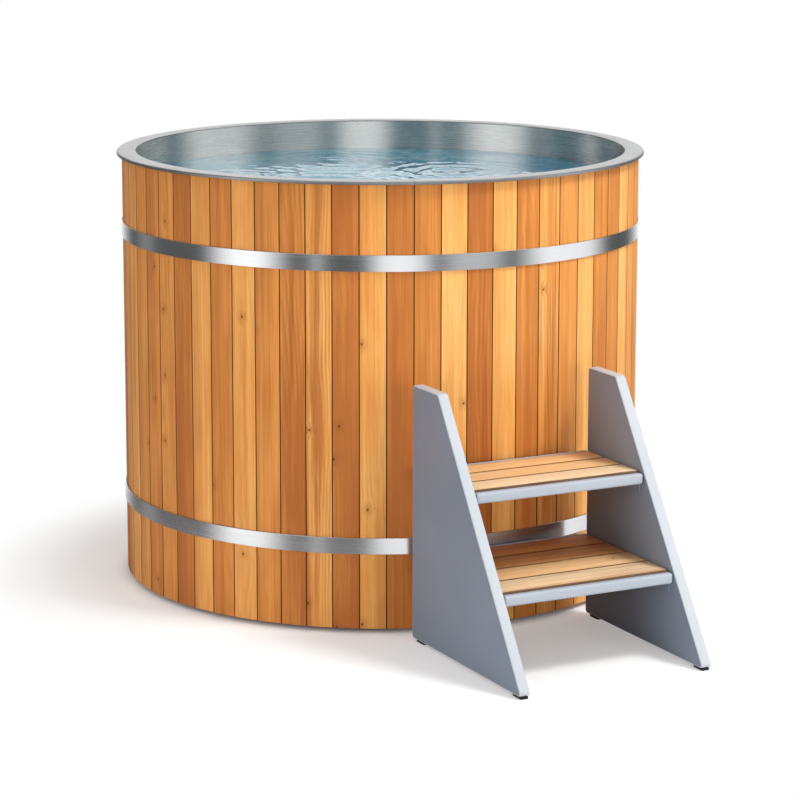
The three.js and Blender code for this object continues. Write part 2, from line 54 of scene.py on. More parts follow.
class Field:
    def __init__(self, finish, socket):
        self.finish = finish
        self.socket = socket

    def math(self, operation, first, second=0.0):
        return self.finish.node("ShaderNodeMath", {"operation": operation}, {0: first, 1: second})

    def __add__(self, other):
        return self.math("ADD", self, other)

    def __sub__(self, other):
        return self.math("SUBTRACT", self, other)

    def __rsub__(self, other):
        return self.math("SUBTRACT", other, self)

    def __mul__(self, other):
        return self.math("MULTIPLY", self, other)

    def __truediv__(self, other):
        return self.math("DIVIDE", self, other)

    def __pow__(self, other):
        return self.math("POWER", self, other)

    def sine(self):
        return self.math("SINE", self)

    def size(self):
        return self.math("ABSOLUTE", self)

    def between(self, low, high):  # 0 at low, 1 at high, soft in between
        return self.finish.node(
            "ShaderNodeMapRange", {"interpolation_type": "SMOOTHSTEP"},
            {"Value": self, "From Min": low, "From Max": high, "To Min": 0.0, "To Max": 1.0})


class Finish:
    def __init__(self, name, tree=None):
        if tree is None:
            self.material = bpy.data.materials.new(name)
            self.material.use_nodes = True
            tree = self.material.node_tree
        self.tree = tree
        self.tree.nodes.clear()

    def node(self, kind, settings=None, values=None, out=0):
        made = self.tree.nodes.new(kind)
        for key, value in (settings or {}).items():
            if key == "stops":
                stops = made.color_ramp.elements
                stops.remove(stops[1])
                stops[0].position = value[0][0]
                stops[0].color = (*value[0][1], 1.0)
                for place, colour in value[1:]:
                    stops.new(place).color = (*colour, 1.0)
            else:
                setattr(made, key, value)
        for key, value in (values or {}).items():
            if isinstance(value, Field):
                self.tree.links.new(value.socket, made.inputs[key])
            else:
                made.inputs[key].default_value = value
        if isinstance(out, tuple):
            return [Field(self, made.outputs[o]) for o in out]
        return Field(self, made.outputs[out]) if made.outputs else None

    def vector(self, x, y, z):
        return self.node("ShaderNodeCombineXYZ", None, {0: x, 1: y, 2: z})

    def parts(self, vector):
        return self.node("ShaderNodeSeparateXYZ", None, {0: vector}, out=(0, 1, 2))

    def place(self):
        return self.node("ShaderNodeTexCoord", out="Object")

    def stretched(self, alongX, alongY, alongZ):  # Object coordinates with a scale for each axis
        x, y, z = self.parts(self.place())
        return self.vector(x * alongX, y * alongY, z * alongZ)

    def noise(self, vector, scale, detail=3.0, rough=0.5, twist=0.0):
        return self.node("ShaderNodeTexNoise", None, {
            "Vector": vector, "Scale": scale, "Detail": detail, "Roughness": rough, "Distortion": twist})

    def blend(self, amount, first, second):
        return self.node("ShaderNodeMix", {"data_type": "RGBA"}, {0: amount, 6: first, 7: second}, out=2)

    def ramp(self, amount, stops):
        return self.node("ShaderNodeValToRGB", {"stops": stops}, {0: amount})

    def bump(self, height, strength, distance):
        return self.node("ShaderNodeBump", None, {
            "Height": height, "Strength": strength, "Distance": distance})

    def light(self, kind, strength, tint=white):
        return self.node("ShaderNode" + kind, None, {"Color": tint, "Strength": strength})

    def either(self, amount, first, second):  # the first shader at 0, the second at 1
        return self.node("ShaderNodeMixShader", None, {0: amount, 1: first, 2: second})

    def surface(self, **values):
        named = {key.replace("_", " "): value for key, value in values.items()}
        shader = self.node("ShaderNodeBsdfPrincipled", None, named)
        self.node("ShaderNodeOutputMaterial", None, {"Surface": shader})
        return self.material


def colour(red, green, blue):  # screen values 0-255 to scene light
    return tuple(c / 12.92 if c <= 0.04045 else ((c + 0.055) / 1.055) ** 2.4
                 for c in (red / 255, green / 255, blue / 255))


def opaque(*rgb):
    return (*colour(*rgb), 1.0)


# wood patterns: scale across and along the board, shift with the board's seed, and the noise itself
grain = {
    "drift": {"scale": (9.0, 2.4), "shift": (37.0, 0.0, 23.0), "detail": 3.0, "rough": 0.55},
    "fibre": {"scale": (560.0, 9.0), "shift": (0.0, 0.0, 5.0), "detail": 4.0, "rough": 0.62},
    "streak": {"scale": (85.0, 1.6), "shift": (13.0, 0.0, 3.0), "detail": 5.0, "rough": 0.65},
    "blotch": {"scale": (12.0, 3.4), "shift": (5.0, 0.0, 11.0), "detail": 3.0, "rough": 0.55},
    "heart": {"scale": (26.0, 1.1), "shift": (71.0, 9.0, 17.0), "detail": 4.0, "rough": 0.6, "twist": 0.4}}
# shared by both woods: rates that make a board's own values from its seed, the rings' pith, knots and stains
wood = {
    "turnRate": 47.0, "leanRate": 91.0, "figureRate": 133.0, "figureSpan": (-0.3, 0.9), "leastFigure": 0.3,
    "pithAside": 0.045, "pithDepth": 0.03, "pithLean": 0.085, "sideSway": 0.034, "depthSway": 0.02,
    "knotScale": (11.0, 8.0), "knotShift": (170.0, 310.0, 0.0), "knotPick": 0.03, "knotEdge": (0.034, 0.016),
    "haloEdge": (0.0, 0.20), "haloSwell": 0.008, "heartEdge": (0.46, 0.64), "ringPatch": (0.30, 0.70),
    "fibreEdge": (0.48, 0.78), "blotch": 0.75, "fibre": 0.36, "halo": 0.30, "knot": 0.85, "joint": 0.84,
    "jointCore": 0.3, "heartStain": opaque(158, 82, 30), "ringStain": opaque(150, 78, 26),
    "fibreStain": opaque(146, 78, 30), "haloStain": opaque(140, 66, 22), "knotStain": opaque(84, 38, 14),
    "jointStain": opaque(66, 32, 12)}


def timber(name, tones, look):
    f = Finish(name)
    across, along, _ = f.parts(f.node("ShaderNodeUVMap", {"uv_map": "grain"}))
    tone, seed, half = (f.node("ShaderNodeAttribute", {"attribute_name": n}, out=2) for n in boardValues)

    def spot(scale, shift):
        return f.vector(across * scale[0] + seed * shift[0], along * scale[1] + seed * shift[1],
                        seed * shift[2])

    def pattern(scale, shift, detail, rough, twist=0.0):
        return f.noise(spot(scale, shift), 1.0, detail, rough, twist)

    drift, fibre, streak, blotch, heart = (pattern(**setup) for setup in grain.values())
    turn, lean, own = ((seed * wood[rate]).sine() for rate in ("turnRate", "leanRate", "figureRate"))
    # some boards show more figure than others
    figure = own.between(*wood["figureSpan"]) * (1.0 - wood["leastFigure"]) + wood["leastFigure"]
    near, pick = f.node("ShaderNodeTexVoronoi", {"voronoi_dimensions": "2D"}, {
        "Vector": spot(wood["knotScale"], wood["knotShift"]), "Scale": 1.0}, out=("Distance", "Color"))
    chosen = f.parts(pick)[0].between(look["knots"], look["knots"] + wood["knotPick"])
    halo = (1.0 - near.between(*wood["haloEdge"])) * chosen
    # year rings round a pith that leans along the board
    sway = drift - 0.5
    side = across - turn * wood["pithAside"] + sway * wood["sideSway"]
    reach = (along - look["centre"]) * lean * wood["pithLean"] + turn * lean * wood["pithDepth"]
    reach = reach + sway * wood["depthSway"]
    ringAt = (side * side + reach * reach) ** 0.5 + halo * wood["haloSwell"]
    rings = ((ringAt / look["ringWidth"] * math.tau).sine() * 0.5 + 0.5) ** 2.0

    body = f.ramp(tone + (blotch - 0.5) * wood["blotch"] + (streak - 0.5) * look["streak"], tones)
    joint = (half - across.size()).between(look["joint"], look["joint"] * wood["jointCore"])
    stained = {
        "heart": heart.between(*wood["heartEdge"]) * figure * look["heart"],
        "ring": rings * blotch.between(*wood["ringPatch"]) * figure * look["ringDepth"],
        "fibre": fibre.between(*wood["fibreEdge"]) * wood["fibre"],
        "halo": halo * wood["halo"],
        "knot": near.between(*wood["knotEdge"]) * chosen * wood["knot"],
        "joint": joint * wood["joint"]}
    for stain, amount in stained.items():
        body = f.blend(amount, body, wood[stain + "Stain"])
    height = fibre * 0.6 + rings * 0.2 + streak * 0.2
    return f.surface(Base_Color=body, Roughness=fibre * 0.14 + rings * 0.05 + look["rough"],
                     Specular_IOR_Level=look["shine"], Normal=f.bump(height, 0.20, 0.0007))


staveTones = [
    (0.0, colour(184, 109, 50)), (0.25, colour(203, 129, 60)), (0.4, colour(216, 142, 69)),
    (0.6, colour(228, 154, 78)), (0.8, colour(238, 172, 94)), (1.0, colour(246, 188, 112))]
treadTones = [(0.0, colour(204, 132, 70)), (0.5, colour(244, 194, 134)), (1.0, colour(255, 229, 188))]
staveWood = timber("staveCedar", staveTones, {
    "centre": 0.5, "ringWidth": 0.0075, "ringDepth": 0.46, "joint": 0.0013, "streak": 0.95, "heart": 0.62,
    "knots": 0.80, "rough": 0.48, "shine": 0.28})
treadWood = timber("treadCedar", treadTones, {
    "centre": 0.0, "ringWidth": 0.0100, "ringDepth": 0.50, "joint": 0.0020, "streak": 1.0, "heart": 0.42,
    "knots": 0.90, "rough": 0.46, "shine": 0.30})

# steel: run is the grain's scale along the brushing, lines its scale across
steelLooks = {
    "hoopSteel": {"light": opaque(226, 227, 228), "dark": opaque(176, 178, 181), "rough": 0.09, "run": 5.0,
                  "lines": 1500.0, "stretch": 0.8, "bump": 0.10},
    "linerSteel": {"light": opaque(240, 236, 231), "dark": opaque(186, 181, 176), "rough": 0.11, "run": 4.0,
                   "lines": 900.0, "stretch": 0.92, "bump": 0.08},
    "rimSteel": {"light": opaque(162, 163, 163), "dark": opaque(120, 121, 122), "rough": 0.28, "run": 60.0,
                 "lines": 60.0, "stretch": 0.0, "bump": 0.05},
    "fittingSteel": {"light": opaque(206, 208, 210), "dark": opaque(150, 153, 157), "rough": 0.22,
                     "run": 120.0, "lines": 900.0, "stretch": 0.0, "bump": 0.10}}
steelMarks = {"wideRun": 1.5, "wideLines": 0.12, "cloud": (7.0, 7.0, 3.0)}


def brushedSteel(name, look):
    f = Finish(name)
    run, lines = look["run"], look["lines"]
    wideRun, wideLines = steelMarks["wideRun"], lines * steelMarks["wideLines"]
    fine = f.noise(f.stretched(run, run, lines), 1.0, 3.0, 0.65)
    wide = f.noise(f.stretched(wideRun, wideRun, wideLines), 1.0, 2.0)
    cloud = f.noise(f.stretched(*steelMarks["cloud"]), 1.0, 3.0, 0.6)
    body = f.blend(fine * 0.35 + cloud * 0.3, look["light"], look["dark"])
    rough = fine * 0.14 + wide * 0.10 + cloud * 0.08 + look["rough"]
    return f.surface(Base_Color=body, Metallic=1.0, Roughness=rough, Anisotropic=look["stretch"],
                     Anisotropic_Rotation=0.25, Normal=f.bump(fine, look["bump"], 0.0003))


steel = {name: brushedSteel(name, look) for name, look in steelLooks.items()}

# other finishes: the numbers are scales of their patterns, in waves per metre
paint = {"peel": 420.0, "drift": 5.0, "speck": 1400.0, "speckTint": opaque(236, 238, 241)}
rubberLook = {"grit": 900.0, "dust": 24.0, "clean": opaque(22, 23, 25), "dusty": opaque(58, 58, 60)}
foamLook = {"cells": 330.0, "shade": 9.0, "light": opaque(226, 220, 200), "dark": opaque(200, 188, 158)}
boardLook = {
    "fibre": (6.0, 260.0, 260.0), "bands": (0.9, 34.0, 34.0),
    "tones": [(0.3, colour(150, 108, 66)), (0.5, colour(184, 142, 94)), (0.7, colour(206, 168, 120))]}
brassLook = {"cast": 260.0, "tarnish": 34.0, "bright": opaque(214, 182, 104), "dull": opaque(142, 108, 56)}
waterLook = {
    "swell": 7.0, "chop": 26.0, "depth": 4.5, "warp": 5.0, "web": 9.0, "bend": 0.22, "webEdge": (0.0, 0.16),
    "webPatch": (0.38, 0.62), "deep": opaque(44, 146, 180), "shallow": opaque(92, 184, 207),
    "gleam": opaque(204, 236, 241), "index": 1.333, "clear": 0.50}


def satinPaint(name, base, worn):
    f = Finish(name)
    spot = f.place()
    peel = f.noise(spot, paint["peel"], 2.0)
    drift = f.noise(spot, paint["drift"], 3.0)
    speck = f.noise(spot, paint["speck"], 1.0)
    body = f.blend(drift.between(0.3, 0.75) * 0.55, base, worn)
    body = f.blend(speck.between(0.62, 0.78) * 0.16, body, paint["speckTint"])
    return f.surface(Base_Color=body, Roughness=peel * 0.14 + drift * 0.10 + 0.36,
                     Specular_IOR_Level=0.45, Normal=f.bump(peel * 0.7 + speck * 0.3, 0.12, 0.0005))


def rubberFinish():
    f = Finish("footRubber")
    spot = f.place()
    grit = f.noise(spot, rubberLook["grit"], 3.0, 0.7)
    dust = f.noise(spot, rubberLook["dust"], 3.0)
    body = f.blend(dust.between(0.45, 0.8) * 0.5, rubberLook["clean"], rubberLook["dusty"])
    return f.surface(Base_Color=body, Roughness=grit * 0.15 + 0.72, Normal=f.bump(grit, 0.35, 0.0006))


def foamFinish():
    f = Finish("insulationFoam")
    spot = f.place()
    cells = f.node("ShaderNodeTexVoronoi", None, {"Vector": spot, "Scale": foamLook["cells"]})
    shade = f.noise(spot, foamLook["shade"], 3.0)
    body = f.blend(shade, foamLook["light"], foamLook["dark"])
    return f.surface(Base_Color=body, Roughness=cells * 0.1 + 0.86, Normal=f.bump(cells, 0.4, 0.001))


def rawBoard():
    f = Finish("rawBaseWood")
    fibre = f.noise(f.stretched(*boardLook["fibre"]), 1.0, 4.0, 0.6)
    bands = f.noise(f.stretched(*boardLook["bands"]), 1.0, 3.0)
    body = f.ramp(bands * 0.7 + fibre * 0.3, boardLook["tones"])
    return f.surface(Base_Color=body, Roughness=fibre * 0.15 + 0.68, Normal=f.bump(fibre, 0.3, 0.0008))


def castBrass():
    f = Finish("valveBrass")
    spot = f.place()
    cast = f.noise(spot, brassLook["cast"], 3.0, 0.6)
    tarnish = f.noise(spot, brassLook["tarnish"], 4.0)
    body = f.blend(tarnish.between(0.42, 0.75) * 0.7, brassLook["bright"], brassLook["dull"])
    return f.surface(Base_Color=body, Metallic=1.0, Roughness=tarnish * 0.2 + cast * 0.1 + 0.22,
                     Normal=f.bump(cast, 0.18, 0.0006))


def waterFinish():
    f = Finish("clearWater")
    x, y, _ = f.parts(f.place())
    # the last number of each vector only sets the patterns apart from one another
    swell = f.noise(f.vector(x, y, 0.0), waterLook["swell"], 2.0, 0.5, 0.6)
    chop = f.noise(f.vector(x, y, 3.0), waterLook["chop"], 2.0, 0.5, 0.9)
    depth = f.noise(f.vector(x, y, 7.0), waterLook["depth"], 3.0)
    warp = f.noise(f.vector(x, y, 11.0), waterLook["warp"], 2.0) * waterLook["bend"]
    web = f.node("ShaderNodeTexVoronoi", {"feature": "DISTANCE_TO_EDGE", "voronoi_dimensions": "2D"},
                 {"Vector": f.vector(x + warp, y - warp, 0.0), "Scale": waterLook["web"]})
    # light gathered by the ripples
    lines = (1.0 - web.between(*waterLook["webEdge"])) * depth.between(*waterLook["webPatch"])
    body = f.blend(depth.between(0.3, 0.7), waterLook["deep"], waterLook["shallow"])
    body = f.blend(lines * 0.42, body, waterLook["gleam"])
    return f.surface(Base_Color=body, Roughness=0.02, IOR=waterLook["index"],
                     Transmission_Weight=waterLook["clear"], Specular_IOR_Level=0.4,
                     Normal=f.bump(swell * 0.85 + chop * 0.15, 0.7, 0.012))


# painted shade and highlight: one grey paint as two copies, darker on the flat faces for their shade and
# lighter on the edges where light catches them
shadedPanelGrey = satinPaint("panelGreyPaintedShade", opaque(129, 139, 154), opaque(121, 131, 146))
litEdgeGrey = satinPaint("edgeGreyPaintedHighlight", opaque(194, 200, 205), opaque(185, 191, 197))
nosingPaint = satinPaint("nosingGrey", opaque(178, 186, 195), opaque(167, 176, 186))
rubber = rubberFinish()
foam = foamFinish()
baseWood = rawBoard()
brass = castBrass()
water = waterFinish()
print("finishes ready:", len(bpy.data.materials))


# mesh helpers

def addBox(bm, low, high):
    low, high = Vector(low), Vector(high)
    verts = bmesh.ops.create_cube(bm, size=1.0)["verts"]
    bmesh.ops.scale(bm, vec=high - low, verts=verts)
    bmesh.ops.translate(bm, vec=(low + high) / 2, verts=verts)
    return verts


def roundOff(bm, edges, width, segments):
    bmesh.ops.bevel(bm, geom=edges, offset=width, offset_type="OFFSET", segments=segments, profile=0.5,
                    affect="EDGES", material=-1, clamp_overlap=True)


def edgesOf(verts):
    return list({e for v in verts for e in v.link_edges})


def roundedBox(bm, low, high, width, segments):
    before = set(bm.verts)
    roundOff(bm, edgesOf(addBox(bm, low, high)), width, segments)
    return [v for v in bm.verts if v not in before]


def arc(r, z, radius, angles, rise=1):  # a bend round (r, z), angles from straight up, or down with rise -1
    return [(r + radius * math.sin(a), z + rise * radius * math.cos(a)) for a in angles]


def lathe(bm, profile, facets, start=0.0, sweep=math.tau, closed=True):  # spins (radius, height) round Z
    turn = (math.cos(start), math.sin(start))
    verts = [bm.verts.new((r * turn[0], r * turn[1], z)) for r, z in profile]
    pairs = list(zip(verts, verts[1:])) + ([(verts[-1], verts[0])] if closed else [])
    edges = [bm.edges.new(pair) for pair in pairs]
    whole = math.isclose(sweep, math.tau)
    last = bmesh.ops.spin(bm, geom=verts + edges, cent=(0, 0, 0), axis=(0, 0, 1), angle=sweep, steps=facets,
                          use_merge=whole, use_duplicate=False)["geom_last"]
    if not whole:
        bm.faces.new(verts)
        bm.faces.new([v for v in last if isinstance(v, bmesh.types.BMVert)])
    bmesh.ops.remove_doubles(bm, verts=bm.verts, dist=1e-6)
    bmesh.ops.recalc_face_normals(bm, faces=bm.faces)


def finishPiece(bm, name, body, finishes, replaced=(), sharp=32.0):  # sharp in degrees
    mesh = bpy.data.meshes.new(name)
    bm.to_mesh(mesh)
    bm.free()
    for finish in finishes:
        mesh.materials.append(finish)
    mesh.shade_smooth()
    mesh.set_sharp_from_angle(angle=math.radians(sharp))
    piece = bpy.data.objects.new(name, mesh)
    scene.collection.objects.link(piece)
    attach(piece, body)
    if replaced:
        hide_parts(*replaced)


def woodLayers(bm):
    return bm.loops.layers.uv.new("grain"), [bm.verts.layers.float.new(name) for name in boardValues]


# axes: across the board, along the grain, out of its show face
def layGrain(verts, layers, axes, tone, seed):
    uv, values = layers
    across, along, out = axes
    low = [min(v.co[i] for v in verts) for i in range(3)]
    high = [max(v.co[i] for v in verts) for i in range(3)]
    half = (high[across] - low[across]) / 2
    for v in verts:
        for layer, value in zip(values, (tone, seed, half)):
            v[layer] = value
    for face in {f for v in verts for f in v.link_faces}:
        for loop in face.loops:
            c = loop.vert.co
            shift = c[across] - low[across] - half
            loop[uv].uv = (shift + math.copysign(high[out] - c[out], shift), c[along])


# staves: each panel is a few boards; russet, warm and pale name the boards that stand out
staves = {
    "count": 64, "perPanel": 4, "first": 13, "outer": 0.603, "inner": 0.5812, "low": 0.010, "high": 0.9977,
    "gap": 0.0010, "slack": 0.00002, "arris": (0.0010, 2), "front": range(29, 60),
    "plain": (0.28, 0.36, 0.42, 0.48, 0.58, 0.68), "behind": (0.10, 0.30, 0.45, 0.60, 0.85),
    "russet": (0.05, {35, 42, 44, 47}), "warm": (0.26, {45, 49, 53}), "pale": (0.84, {46, 48, 52, 55})}


def buildStaves():
    count, perPanel, inner, outer = (staves[key] for key in ("count", "perPanel", "inner", "outer"))
    pitch = math.tau / count
    halfWidth = outer * math.tan(pitch / 2) - staves["gap"] / 2
    taper = (inner * math.tan(pitch / 2) - staves["slack"]) / halfWidth  # boards meet behind the joint
    middle = (inner + outer) / 2
    for panel in range(count // perPanel):
        bm = bmesh.new()
        layers = woodLayers(bm)
        for k in range(perPanel):
            index = (staves["first"] + panel * perPanel + k) % count
            before = set(bm.verts)
            box = addBox(bm, (-halfWidth, inner, staves["low"]), (halfWidth, outer, staves["high"]))
            for v in box:
                if v.co.y < middle:
                    v.co.x *= taper
            face = [e for e in edgesOf(box) if all(v.co.y > middle for v in e.verts)]
            roundOff(bm, face, *staves["arris"])
            board = [v for v in bm.verts if v not in before]
            tone = dice.choice(staves["plain"])
            if index not in staves["front"]:
                tone = dice.choice(staves["behind"])
            for shade, boards in (staves["russet"], staves["warm"], staves["pale"]):
                tone = shade if index in boards else tone
            layGrain(board, layers, (0, 2, 1), tone, dice.random())
            spin = Matrix.Rotation(index * pitch - quarter, 3, "Z")
            bmesh.ops.rotate(bm, cent=(0, 0, 0), matrix=spin, verts=board)
        name = f"{panel + 1:02d}"
        finishPiece(bm, "stavePanel" + name, "tub", [staveWood], ["stave_panel_" + name])
    print("staves:", count, "boards in", count // perPanel, "panels")


# hoops: the gap and its lugs are at the back
hoops = {
    "heights": {"upper": 0.822, "lower": 0.197}, "inner": 0.60445, "outer": 0.60698, "width": 0.036,
    "edge": 0.0005, "gap": 0.014, "facets": 300, "lug": (0.024, 0.018, 0.028), "lugSink": 0.0013,
    "lugRound": (0.003, 3)}


def buildHoops():
    a, b, c = hoops["inner"], hoops["outer"], hoops["edge"]
    long, deep, tall = hoops["lug"]
    start = math.asin(hoops["gap"] / 2 / a)
    for place, height in hoops["heights"].items():
        bm = bmesh.new()
        low, high = height - hoops["width"] / 2, height + hoops["width"] / 2
        profile = [(a, low + c), (a + c, low), (b - c, low), (b, low + c),
                   (b, high - c), (b - c, high), (a + c, high), (a, high - c)]
        lathe(bm, profile, hoops["facets"], quarter + start, math.tau - 2 * start)
        foot = b - hoops["lugSink"]
        for side in (-1, 1):
            middle = side * (hoops["gap"] + long) / 2
            roundedBox(bm, (middle - long / 2, foot, height - tall / 2),
                       (middle + long / 2, foot + deep, height + tall / 2), *hoops["lugRound"])
        finishPiece(bm, "hoop" + place.title(), "tub", [steel["hoopSteel"]], ["hoop_" + place])
    print("hoops:", len(hoops["heights"]))


# rim: a flange with a turned-down lip, in two halves
rim = {
    "inner": 0.571, "outer": 0.615, "top": 1.0, "sheet": 0.002, "lip": 0.007, "bend": 0.004, "edge": 0.0004,
    "innerEase": (0.0012, 0.0010), "seam": 70.3125, "seamGap": 0.0006, "facets": 180, "sharp": 40.0,
    "insideArc": (0.0, 0.4, 0.8, 1.2, quarter), "outsideArc": (quarter, 1.25, 0.94, 0.63, 0.31, 0.0)}


def buildRim():
    a, r, t, z, bend, e = (rim[key] for key in ("inner", "outer", "sheet", "top", "bend", "edge"))
    foot = z - rim["lip"]
    easeIn, easeDown = rim["innerEase"]
    profile = [(a, z - t), *arc(r - bend, z - bend, bend - t, rim["insideArc"]),
               (r - t, foot + e), (r - t + e, foot), (r - e, foot), (r, foot + e),
               *arc(r - bend, z - bend, bend, rim["outsideArc"]),
               (a + easeIn, z), (a + e, z - e), (a, z - easeDown)]
    slack = rim["seamGap"] / r
    for half, place in enumerate(("left", "right")):
        bm = bmesh.new()
        begin = math.radians(rim["seam"]) + half * math.pi + slack
        lathe(bm, profile, rim["facets"], begin, math.pi - 2 * slack)
        finishPiece(bm, "rim" + place.title(), "tub", [steel["rimSteel"]], ["rim_" + place],
                    rim["sharp"])
    print("rim: 2 halves")


# liner: wall and floor, with a rounded knuckle between them
liner = {
    "inner": 0.571, "outer": 0.573, "floor": 0.1442, "sheet": 0.002, "knuckle": 0.025, "top": 0.9977,
    "weld": 0.0003, "wallFacets": 256, "floorFacets": 192, "bend": (0.0, 0.3, 0.6, 0.9, 1.2, quarter)}


def buildLiner():
    a, b, top, floor, k, t = (liner[key] for key in ("inner", "outer", "top", "floor", "knuckle", "sheet"))
    knee = floor + k
    foot = knee + liner["weld"]
    bm = bmesh.new()
    lathe(bm, [(a, foot), (b, foot), (b, top), (a, top)], liner["wallFacets"])
    finishPiece(bm, "linerWall", "tub", [steel["linerSteel"]], ["liner_wall"])
    bm = bmesh.new()
    outer = arc(a - k, knee, k + t, liner["bend"], -1)
    inner = arc(a - k, knee, k, reversed(liner["bend"]), -1)
    lathe(bm, [(0.0, floor - t), *outer, *inner, (0.0, floor)], liner["floorFacets"], closed=False)
    finishPiece(bm, "linerFloor", "tub", [steel["linerSteel"]], ["liner_floor"])
    print("liner: wall and floor")


# water: a still fill with a few spreading rings
pool = {
    "level": 0.930, "radius": 0.5704, "floor": 0.1532, "rings": 130, "facets": 256, "skin": 0.001,
    "calmEdge": 0.03, "liftAtWall": 0.25, "sharp": 60.0,
    # inset and height of the fill's rounded foot
    "foot": [(0.0, 0.172), (0.008, 0.158), (0.024, 0.1532)],
    # x, y, height, wavelength and reach of each set of rings
    "waves": [(-0.21, -0.10, 0.0040, 0.066, 0.22), (0.20, 0.02, 0.0017, 0.058, 0.18),
              (-0.02, -0.28, 0.0013, 0.070, 0.24), (-0.33, 0.12, 0.0016, 0.044, 0.20),
              (0.05, 0.30, 0.0014, 0.055, 0.25)]}


def buildWater():
    bm = bmesh.new()
    radius, level, rings = pool["radius"], pool["level"], pool["rings"]
    top = [(radius * i / rings, level) for i in range(rings + 1)]
    foot = [(radius - inset, height) for inset, height in pool["foot"]]
    lathe(bm, [*top, *foot, (0.0, pool["floor"])], pool["facets"], closed=False)
    for v in bm.verts:
        if v.co.z > level - pool["skin"]:
            edge = min(1.0, (radius - v.co.xy.length) / pool["calmEdge"])
            lift = 0.0
            for x, y, tall, wave, reach in pool["waves"]:
                far = math.hypot(v.co.x - x, v.co.y - y)
                lift += tall * math.cos(math.tau * far / wave) * math.exp(-(far / reach) ** 2)
            v.co.z += lift * (pool["liftAtWall"] + (1.0 - pool["liftAtWall"]) * edge)
    finishPiece(bm, "waterFill", "tub", [water], sharp=pool["sharp"])
    print("water: fill to", level)


# steps: side panels with rounded corners and eased edges, on rubber feet; pairs are width and segments
steps = {
    "back": -0.61449, "foot": 0.006, "high": 0.567, "topDepth": 0.116, "bottomDepth": 0.484, "thick": 0.024,
    "corner": (0.008, 7), "ease": (0.0024, 3), "easeAngle": 0.9, "flat": 0.999, "near": 1e-5,
    "footRound": (0.0012, 2)}


def buildPanels():
    outline = [(steps["back"], steps["foot"]), (steps["back"] - steps["bottomDepth"], steps["foot"]),
               (steps["back"] - steps["topDepth"], steps["high"]), (steps["back"], steps["high"])]
    radius, segments = steps["corner"]
    for side in ("left", "right"):
        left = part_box("step_side_" + side)[0].x
        bm = bmesh.new()
        face = bm.faces.new([bm.verts.new((left, y, z)) for y, z in outline])
        made = bmesh.ops.extrude_face_region(bm, geom=[face])["geom"]
        far = [v for v in made if isinstance(v, bmesh.types.BMVert)]
        bmesh.ops.translate(bm, vec=(steps["thick"], 0, 0), verts=far)
        bmesh.ops.recalc_face_normals(bm, faces=bm.faces)
        for corner in outline:
            edge = [e for e in bm.edges
                    if all((v.co.yz - Vector(corner)).length < steps["near"] for v in e.verts)]
            sides = [f.normal for f in edge[0].link_faces]
            half = (math.pi - sides[0].angle(sides[1])) / 2
            roundOff(bm, edge, radius / math.tan(half), segments)
        rims = [e for e in bm.edges if e.calc_face_angle(0) > steps["easeAngle"]]
        roundOff(bm, rims, *steps["ease"])
        # flat faces get the darker grey (painted shade), edges and rims get the lighter grey (painted
        # highlight)
        for f in bm.faces:
            f.material_index = 0 if abs(f.normal.x) > steps["flat"] else 1
        finishPiece(bm, "stepSide" + side.title(), "steps", [shadedPanelGrey, litEdgeGrey], ["step_side_" + side])
        for end in ("back", "front"):
            node = f"step_foot_{end}_{side}"
            bm = bmesh.new()
            roundedBox(bm, *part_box(node), *steps["footRound"])
            finishPiece(bm, "stepFoot" + end.title() + side.title(), "steps", [rubber], [node])
    print("steps: 2 side panels on 4 feet")


# treads: a nosing, a back rail, a centre bar and two end angles carry the boards
treads = {
    "levels": {"upper": 0.379, "lower": 0.189}, "clear": 0.2065, "gap": 0.003, "seat": 0.0003,
    "nosing": (0.018, 0.023, 0.003), "nosingRound": (0.005, 5), "rail": 0.008, "railRound": (0.001, 2),
    "under": 0.0203, "leg": 0.004, "angle": 0.028, "bar": 0.014, "sink": 0.004, "short": 0.0005,
    "barRound": (0.0008, 1), "boardInset": 0.0005, "boardRound": (0.0011, 2),
    # board tones from back to front; the lower tread's dark back boards are painted shade from the upper
    # tread above them
    "tones": {"upper": (0.55, 0.62, 0.90), "lower": (0.05, 0.28, 0.52, 0.88)}}


def buildTreads():
    deep, tall, drop = treads["nosing"]
    leg, angle, bar = treads["leg"], treads["angle"], treads["bar"]
    reach = treads["clear"] - treads["gap"]
    end = treads["clear"] - treads["seat"]
    inset = Vector((0, treads["boardInset"], 0))
    for place, level in treads["levels"].items():
        low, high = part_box(place + "_tread_frame")
        under = level - treads["under"]
        bm = bmesh.new()
        roundedBox(bm, (-reach, low.y, level - drop - tall), (reach, low.y + deep, level - drop),
                   *treads["nosingRound"])
        roundedBox(bm, (-reach, high.y - treads["rail"], under - leg), (reach, high.y, level),
                   *treads["railRound"])
        shown = set(bm.faces)
        front, rear = low.y + deep - treads["sink"], high.y - treads["short"]
        for left, right, thick in ((-end, angle - end, leg), (-end, leg - end, angle), (-bar, bar, leg),
                                   (end - angle, end, leg), (end - leg, end, angle)):
            roundedBox(bm, (left, front, under - thick), (right, rear, under), *treads["barRound"])
        for f in bm.faces:
            f.material_index = 0 if f in shown else 1
        finishPiece(bm, place + "TreadFrame", "steps", [nosingPaint, shadedPanelGrey], [place + "_tread_frame"])
        for i, tone in enumerate(treads["tones"][place]):
            node = f"{place}_tread_board_{i + 1}"
            bm = bmesh.new()
            layers = woodLayers(bm)
            near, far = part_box(node)
            board = roundedBox(bm, near + inset, far - inset, *treads["boardRound"])
            layGrain(board, layers, (1, 0, 2), tone, dice.random())
            finishPiece(bm, f"{place}TreadBoard{i + 1}", "steps", [treadWood], [node])
    print("treads: 3 boards above, 4 below")


